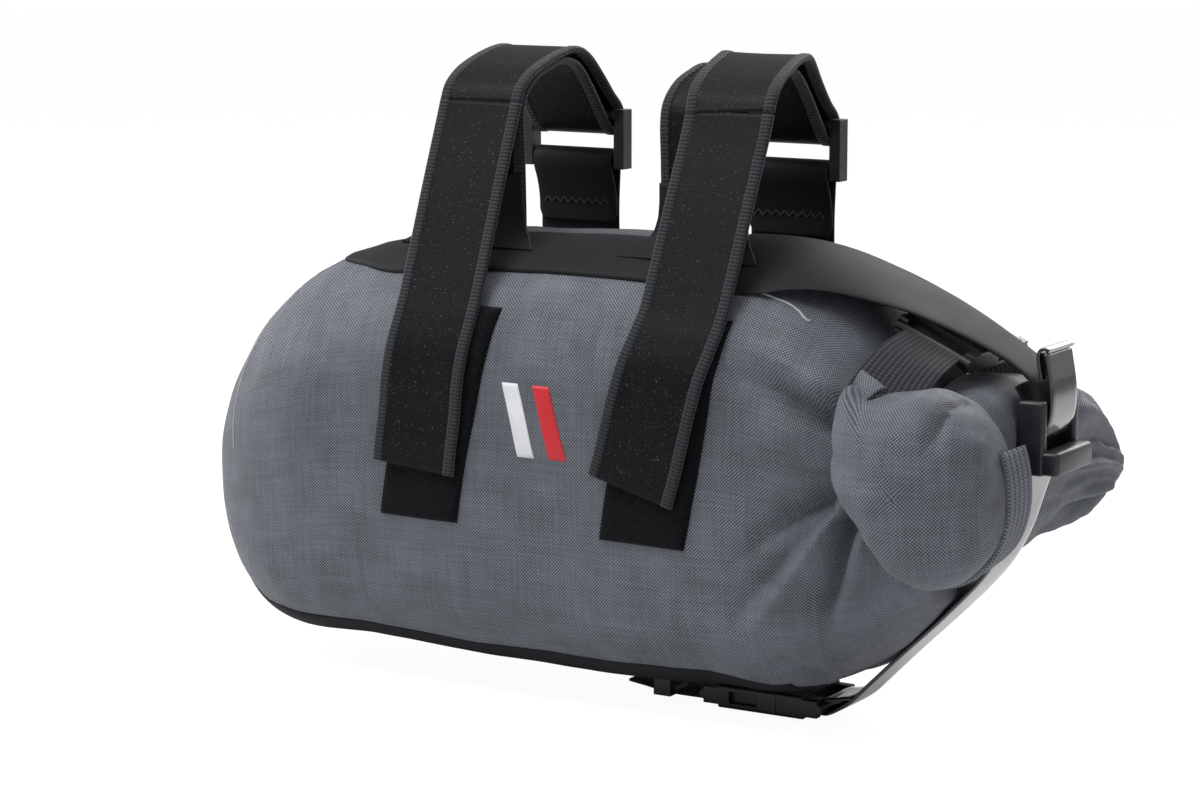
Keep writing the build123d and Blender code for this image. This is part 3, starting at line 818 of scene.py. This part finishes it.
def bar_strap(name):
    """A strap with its flap and loop pad, and the two tabs that hold it to the harness."""
    tab, top, middle, foot = STRAPS[name]
    turn = 9  # of the line's last points, over which the strap drifts along the bar
    across = [tab] * (len(INNER) - turn)
    across += list(tab + (top - tab) * ease(np.linspace(0, 1, turn)))
    fixed = strap_part(name + "_bar_strap", INNER, across, name + "_strap")
    for piece in fixed:
        keep(piece, "strap_sheet" if piece is fixed[0] else "webbing")
    hang = FLAP + [(flap_depth(foot, z), z) for z in FLAP_FALL]
    fall = np.linspace(0, 1, len(hang))
    halfway = np.interp(fall, [0, 0.1, 0.45, 1], [top, top, middle, foot])
    peel = strap_part(name + "_peeling_flap", hang, halfway, name + "_flap")
    for piece in peel:
        blended(piece)
    pad = patch(name + "_loop_pad_pile", *PADS[name], 2.1, "pile")
    keep(pad, "loop_pile", name + "_loop_pad")
    front = smooth_path([(tab, y, z) for y, z in TAB_RUN], 1.2)
    flare = np.interp(front[:, 2], *TAB_FLARE)
    front_tab = tape(name + "_front_tab_sheet", front, (1, 0, 0), flare, TAB, "sheet")
    keep(front_tab, "harness_sheet", name + "_front_tab")
    rear = smooth_path([(tab, y, z) for y, z in REAR_RUN], 1.2)
    width = np.interp(np.linspace(0, 1, len(rear)), *REAR_FLARE)
    rear_tab = tape(name + "_rear_tab_sheet", rear, (1, 0, 0), width, TAB, "sheet")
    keep(rear_tab, "harness_sheet", name + "_rear_tab")
    zigzag = np.array([(tab - 17 + k * 2.1, 58.9, 184 + 2.4 * (k % 2)) for k in range(17)])
    keep(tube(name + "_tab_zigzag", resample(zigzag, 0.8), 0.45, "thread", (0.3, 0.2, 0.93), 6), "webbing")


for which in STRAPS:
    bar_strap(which)


# --- Ears and rolled mouth ---
ROUND = 1.28 * MM  # length of the weave from one column to the next, round an ear or the roll
# The ear seen from the front, as points (x, z), and its creases, as the bag's
EAR_OUTLINE = [(333, 134), (341, 131), (352, 133), (366, 136.5), (379, 132), (390, 120), (396, 104),
               (396.5, 86), (390, 70), (375, 59), (358, 62), (343, 78), (333, 98), (329.5, 118)]
EAR_CREASES = [
    ([(379, 134), (377.5, 122), (376, 112)], 5.5, 2.0),
    ([(329, 112), (342, 106), (354, 103)], 2.6, 3.6),
    ([(332, 98), (348, 94), (360, 96)], -1.8, 5.0),
    ([(341, 80), (354, 84), (364, 86)], 2.8, 3.4),
    ([(396, 112), (390, 100), (391, 84), (384, 68)], 2.6, 2.6),
    ([(375, 58), (376, 70), (380, 82)], 2.2, 3.4),
    ([(352, 133), (356, 122), (363, 112)], -1.6, 5.0),
]


def closed_curve(points, count):
    """Smooth closed curve through points."""
    points = np.asarray(points, float)
    around = np.vstack([points[-3:], points, points[:3]])
    curve = smooth_path(around, 0.5)
    first = np.argmin(np.linalg.norm(curve - points[0], axis=1)[:len(curve) // 2])
    last = len(curve) // 2 + np.argmin(np.linalg.norm(curve - points[0], axis=1)[len(curve) // 2:])
    loop = curve[first:last + 1]
    run = distances(loop)
    want = np.linspace(0, run[-1], count, endpoint=False)
    return np.stack([np.interp(want, run, loop[:, axis]) for axis in range(2)], axis=1)


def bumpy(points, normals, slow, quick, seed):
    """Points moved along their normals by two sizes of noise."""
    offset = Vector((seed, seed * 2, 0))
    height = [noise.noise(Vector(p) * 0.032 + offset) * slow + noise.noise(Vector(p) * 0.11 + offset) * quick
              for p in points]
    return points + normals * np.array(height)[:, None]


# Levels of the ear, from the roll outwards: size as a share of its outline, and depth
EAR_LEVELS = [(0.72, -36), (0.9, -42), (0.98, -50), (1.0, -58), (0.985, -65), (0.93, -71), (0.82, -76.4),
              (0.66, -80.4), (0.46, -83), (0.26, -84.4), (0.1, -84.9), (0.02, -85)]
# Rows of points across the fold that stands over the ear's corner
PEAK = np.array([[(328.5, -58, 112), (331, -66, 113), (334, -70, 113)],
                 [(330.5, -57, 126), (335, -64.5, 124), (341, -69, 122)],
                 [(333, -56, 137), (340, -62, 133), (350, -66, 129)],
                 [(336, -54, 142), (345, -58, 136), (358, -60, 131)]], float)
LAYERS = 5  # of the mouth's fabric that show behind the ear


def front_ear():
    """The puffed front ear, the fold at its corner and the rolled layers behind it."""
    count = 200
    rim = closed_curve(EAR_OUTLINE, count)
    middle = np.array([363.0, 98.0])
    levels = smooth_path(EAR_LEVELS, 1.3)
    rows = []
    for scale, y in levels:
        ring = middle + (rim - middle) * scale
        points = np.stack([ring[:, 0], np.full(count, y), ring[:, 1]], axis=1)
        points[:, 1] += (points[:, 0] - middle[0]) * 0.10
        out = np.stack([(ring - middle)[:, 0], np.zeros(count), (ring - middle)[:, 1]], axis=1)
        out /= np.maximum(np.linalg.norm(out, axis=1), 0.1)[:, None]
        facing = np.clip(1 - scale, 0, 1) ** 0.5
        normals = out * (1 - facing) + np.array([0, -1.0, 0]) * facing
        points = bumpy(points, normals, 3.4, 0.8, 4.0)
        if y < -52:
            dent = creased(points[:, 0], points[:, 2], EAR_CREASES)
            points[:, 1] -= dent * min(1, (-52 - y) / 14)
            points += out * (dent * max(0.0, 1 - abs(y + 62) / 14) * 0.5)[:, None]
        rows.append(points)
    ear = surface("front_ear_pillow", rows, "bag",
                  u=lengths(levels * (40, 1)), v=np.arange(count + 1) * ROUND)
    domed(ear, np.array(rows), middle)
    keep(ear, "bag_fabric", "front_ear")
    down = [smooth_path(PEAK[:, j], 1) for j in range(3)]
    flat = np.array([[line[int(t)] for line in down] for t in np.linspace(0, min(map(len, down)) - 1, 14)])
    wide = np.array([resample(smooth_path(row, 1), 1)[:14] for row in flat])
    rows = [np.vstack([row, (row + (0.6, 1.1, -0.5))[::-1]]) for row in wide]
    keep(surface("ear_fold", rows, "bag"), "bag_fabric")
    edge = rim[62:128]
    for layer in range(LAYERS):
        shrunk = middle + (edge - middle) * (0.985 - 0.012 * layer)
        y = -51 + 5.2 * layer
        path = np.stack([shrunk[:, 0], np.full(len(shrunk), y), shrunk[:, 1]], axis=1)
        keep(tape(f"mouth_layer_{layer + 1}", path[::2], (0, 1, 0), 4.6, 3.0, "bag"), "bag_fabric")


# Section of the roll, as points (x, z), and how it narrows to the rear ear's tip at depths
ROLL = [(345, 128), (358, 135), (371, 135.5), (380, 128), (384, 114), (383, 98), (379, 82), (372, 67),
        (363, 55), (350, 49), (338, 55), (336, 90), (338, 114)]
WEDGE_Y = [-48, -20, 0, 20, 40, 59, 72, 80, 85, 88]
WEDGE_TOP = [127, 131, 135, 133, 126, 117, 107, 98, 91, 85]
WEDGE_LOW = [54, 48, 46, 49, 54, 61, 66, 70, 74, 79]
WEDGE_SIZE = [1, 1, 1, 1, 0.96, 0.86, 0.7, 0.54, 0.36, 0.1]
WEDGE_X = [360, 360, 360, 362, 366, 370, 374, 377, 379, 380]


def rolled_mouth():
    """The rolled mouth and the gathered rear ear, as one skin."""
    count = 180
    stations = np.concatenate([np.arange(-48, 60, 2.0), np.linspace(60, 88, 30)])
    base = closed_curve(ROLL, count)
    low, high = base[:, 1].min(), base[:, 1].max()
    rows = []
    for y in stations:
        top, bottom = np.interp(y, WEDGE_Y, WEDGE_TOP), np.interp(y, WEDGE_Y, WEDGE_LOW)
        size, middle = np.interp(y, WEDGE_Y, WEDGE_SIZE), np.interp(y, WEDGE_Y, WEDGE_X)
        x = middle + (base[:, 0] - 360) * size
        z = bottom + (base[:, 1] - low) / (high - low) * (top - bottom)
        points = np.stack([x, np.full(count, y), z], axis=1)
        centre = points.mean(axis=0)
        out = (points - centre) / np.linalg.norm(points - centre, axis=1)[:, None]
        angle = np.arctan2(out[:, 2], out[:, 0])
        pinch = np.clip((y - 28) / 58, 0, 1)
        folds = np.sin(angle * 9 + 1.4 * np.sin(angle * 2.3 + y * 0.03)) + 0.5 * np.sin(angle * 17 + 1)
        gather = 4.2 * math.sin(math.pi * min(1, pinch * 1.04)) ** 0.8 * folds
        wrap = -1.1 * np.exp(-((angle - 0.55) / 0.09) ** 2) - 0.8 * np.exp(-((angle + 0.5) / 0.12) ** 2)
        points = points + out * (gather * 0.62 + wrap * (1 - pinch))[:, None]
        rows.append(bumpy(points, out, 2.6, 0.6, 9.0))
    roll = surface("rolled_mouth", rows, "bag",
                   u=stations * MM, v=np.arange(count + 1) * ROUND)
    keep(roll, "bag_fabric", "mouth_roll", "rear_ear")


front_ear()
rolled_mouth()


# --- Webbing ---
# Middle lines of the webbings, as points (x, z)
CLOSURE_RUN = [(311, -3.6), (303, -5.4), (297.4, -6.4), (295.4, -9), (297.6, -11.6), (302, -10.6),
               (310, -5.4), (319, 3.5), (333, 17.5), (352, 36), (368.5, 54), (378, 70), (383.6, 86),
               (387.4, 97), (389.2, 106), (392.8, 113), (395.6, 120), (396.0, 130), (393.4, 145.5)]
HEM_RUN = [(391.8, 135), (390.6, 141), (390.4, 145.6), (392.4, 147.4), (395.0, 146.6)]
LOW_RUN = [(125, -2.9), (160, -3.0), (200, -3.1), (221, -3.4), (233, -5.0), (244, -6.3), (247.6, -7.6),
           (248.2, -9.6), (246, -11.5), (238, -11.9), (225, -11.7), (214, -10.2), (206, -9.2)]
WEB_WIDTH = 25
EAR_BARS = {"front": -3 - 18.6, "rear": -3 + 33.5}  # depths of the ear buckle's webbing bars


def flat_web(name, line, step, thick, material):
    """Webbing along a line in the bag's middle plane."""
    return tape(name, smooth_path([(x, 0, z) for x, z in line], step), (0, 1, 0), WEB_WIDTH, thick, material)


def webbings():
    closure = flat_web("closure_webbing", CLOSURE_RUN, 1.4, 1.5, "gloss")
    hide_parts("closure_strap")
    blended(closure)
    keep(flat_web("closure_hem", HEM_RUN, 0.7, 1.4, "gloss"), "coated_webbing")
    low_webbing = flat_web("bottom_webbing_strap", LOW_RUN, 1.4, 1.3, "webbing")
    keep(low_webbing, "webbing", "bottom_webbing")
    for name, sign, body in (("front", -1, "ear_plug"), ("rear", 1, None)):
        bar = EAR_BARS[name]
        path = smooth_path([(343, sign * 62, 118), (344, sign * 58, 126), (346, sign * 50, 135),
                            (349, sign * 40, 143), (350.4, bar + sign * 6, 146.6), (350.6, bar, 147.8)], 1.2)
        path[:, 1] = np.where(np.abs(path[:, 1]) < abs(bar), bar, path[:, 1])
        run = np.linspace(0, 1, len(path))[:, None]
        side = np.array([0.95, 0.0, -0.30]) * (1 - run) + np.array([0.906, 0, -0.423]) * run
        width = np.interp(run[:, 0], [0, 0.5, 1], [34, 29, WEB_WIDTH])
        web = tape(f"{name}_ear_strap", path, side, width, 1.5, "webbing")
        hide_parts(f"{name}_ear_webbing")
        if body:
            blended(web)
        else:
            keep(web, "webbing")


webbings()


def rounded_box(name, low, high, radius, material):
    """A box between two corners with rounded edges."""
    low, high = np.array(low, float), np.array(high, float)
    bpy.ops.mesh.primitive_cube_add(size=1, location=place(*(low + high) / 2))
    box = bpy.context.object
    box.name = name
    box.scale = (high - low) * 0.001
    bpy.ops.object.transform_apply(location=False, rotation=False, scale=True)
    rounding = box.modifiers.new("rounding", "BEVEL")
    rounding.width, rounding.segments = radius * 0.001, 3
    bpy.ops.object.modifier_apply(modifier="rounding")
    for face in box.data.polygons:
        face.use_smooth = True
    box.data.materials.append(MATERIALS[material])
    return box


def lock_body():
    """Moulded body of the ladder lock: two rails, and the broad bar that the strap turns over."""
    low, high = local_box("ladder_lock")
    boxes = [("lock_bar", (393.6, low[1] - 0.4, low[2] - 0.8), (402.0, high[1] + 0.4, low[2] + 8.6), 1.6)]
    for name, side in (("front", low[1] - 0.6), ("rear", high[1] - 3.6)):
        boxes.append(("lock_rail_" + name, (low[0] - 3.0, side, low[2] - 1.2),
                      (high[0] + 0.6, side + 4.2, high[2] + 1.2), 1.4))
    for name, start, end, radius in boxes:
        keep(rounded_box(name, start, end, radius, "plastic"), "buckle_plastic")


lock_body()


# --- Seams and marks ---
def laid(points, lift):
    """Points (x, z) laid on the front of the bag, smoothly."""
    path = smooth_path(np.array(points, float), 1.2)
    runs = np.array([front_along(x, z) for x, z in path])
    kernel = np.ones(7) / 7
    runs = np.convolve(np.pad(runs, 3, mode="edge"), kernel, mode="valid")
    return np.array([on_bag(x, [run], lift)[0] for (x, _), run in zip(path, runs)])


# Each seam's points (x, z) on the front, its lift and its radius. The seams are thin tubes in a light grey
# that is a painted highlight along the weld edges.
SEAMS = {"shoulder": ([(258, 168), (272, 166.5), (286, 164), (298, 159.5), (306, 153)], 0.15, 0.55),
         "top": ([(146, 169), (170, 168.6), (192, 168.2)], 0.15, 0.45),
         "end": ([(46, 150), (36, 140), (31, 122), (29, 100), (29, 80)], 0.05, 0.3)}
for which, (line, lift, radius) in SEAMS.items():
    keep(tube("seam_" + which, laid(line, lift), radius, "seam"), "bag_fabric")


def mark(name, middle, replaced, material, slot):
    """A slanted reflective bar on the front."""
    centre, slant, width, height = 108, 9.0, 8.0, 30.0
    left = middle - (width + slant) / 2
    piece = patch(name, centre - height / 2, centre + height / 2, left + slant, left, width, 0.3, material)
    keep(piece, slot, replaced)


mark("white_mark", 182.0, "reflective_mark_white", "white", "reflective_white")
mark("red_mark", 197.0, "reflective_mark_red", "red", "reflective_red")


# --- Camera, light and ground ---
AMBIENT, REFLECTED = 0.2, 0.34  # of the world: its light on the object, and in reflections above that


def studio():
    """Camera, soft lamps, a pale world and a white floor."""
    scene = bpy.context.scene
    azimuth, elevation, distance = math.radians(31), math.radians(9.5), 1.4
    aim = place(184.7, -1.0, 107.9)
    level = math.cos(elevation)
    forward = Vector((-math.sin(azimuth) * level, math.cos(azimuth) * level, -math.sin(elevation)))
    data = bpy.data.cameras.new("camera")
    data.lens, data.sensor_width = 98.7, 36
    data.dof.use_dof = False
    camera = bpy.data.objects.new("camera", data)
    camera.location = aim - forward * distance
    camera.rotation_euler = forward.to_track_quat("-Z", "Y").to_euler()
    bpy.context.collection.objects.link(camera)
    scene.camera = camera
    right = Vector((math.cos(azimuth), math.sin(azimuth), 0))
    centre = place(190, 0, 110)
    # Each lamp's place, size in metres and power in watts
    lamps = (("key", centre - forward * 0.35 - right * 0.95 + Vector((0, 0, 1.35)), 0.9, 17),
             ("fill", centre - forward * 1.1 + right * 0.9 + Vector((0, 0, 0.35)), 1.2, 1.8),
             ("top", centre + Vector((0, 0, 1.3)), 1.0, 8),
             ("rim", centre + forward * 0.9 + right * 0.7 + Vector((0, 0, 0.8)), 0.8, 9),
             ("rim_left", centre + forward * 0.6 - right * 1.0 + Vector((0, 0, 0.5)), 0.7, 5))
    for name, spot, size, power in lamps:
        light = bpy.data.lights.new(name, "AREA")
        light.size, light.energy = size, power
        lamp = bpy.data.objects.new(name, light)
        lamp.location = spot
        lamp.rotation_euler = (centre - spot).to_track_quat("-Z", "Y").to_euler()
        bpy.context.collection.objects.link(lamp)
    world = bpy.data.worlds.new("world")
    scene.world = world
    world.use_nodes = True
    sky = Nodes(world.node_tree)
    background = sky.tree.nodes["Background"]
    path = sky.new("LightPath")
    seen = sky.math("MAXIMUM", path.outputs["Is Camera Ray"], path.outputs["Is Transmission Ray"])
    reflected = sky.math("MULTIPLY", path.outputs["Is Glossy Ray"], REFLECTED)
    strength = sky.new("MapRange")
    sky.link(sky.math("MAXIMUM", seen, reflected), strength.inputs[0])
    strength.inputs[3].default_value, strength.inputs[4].default_value = AMBIENT, 1.0
    sky.link(strength.outputs[0], background.inputs["Strength"])
    background.inputs["Color"].default_value = (1, 1, 1, 1)
    bottom = cad_box[0][2] - 0.002
    bpy.ops.mesh.primitive_circle_add(vertices=96, radius=6, fill_type="NGON", location=(0, 0, bottom))
    floor = bpy.context.object
    floor.name = "floor"
    shader = Shader("floor_white", Base_Color=(0.9, 0.9, 0.9, 1), Roughness=0.9, Specular_IOR_Level=0.1)
    glow = shader.node("Emission", Strength=1.19)
    mix = shader.new("MixShader")
    seen = shader.math("MULTIPLY", shader.new("LightPath").outputs["Is Camera Ray"], 0.8)
    for source, socket in zip((seen, shader.bsdf.outputs[0], glow), mix.inputs):
        shader.link(source, socket)
    shader.link(mix.outputs[0], shader.tree.nodes["Material Output"].inputs["Surface"])
    floor.data.materials.append(shader.material)
    scene.view_settings.view_transform = "Standard"


studio()
PLASTIC = ("_ring", "_lock", "_slider", "_socket", "_plug", "_prong_a", "_prong_b", "_stiffener")
for node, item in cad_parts.items():
    if node.endswith(PLASTIC):
        item.data.materials.clear()
        item.data.materials.append(MATERIALS["plastic"])
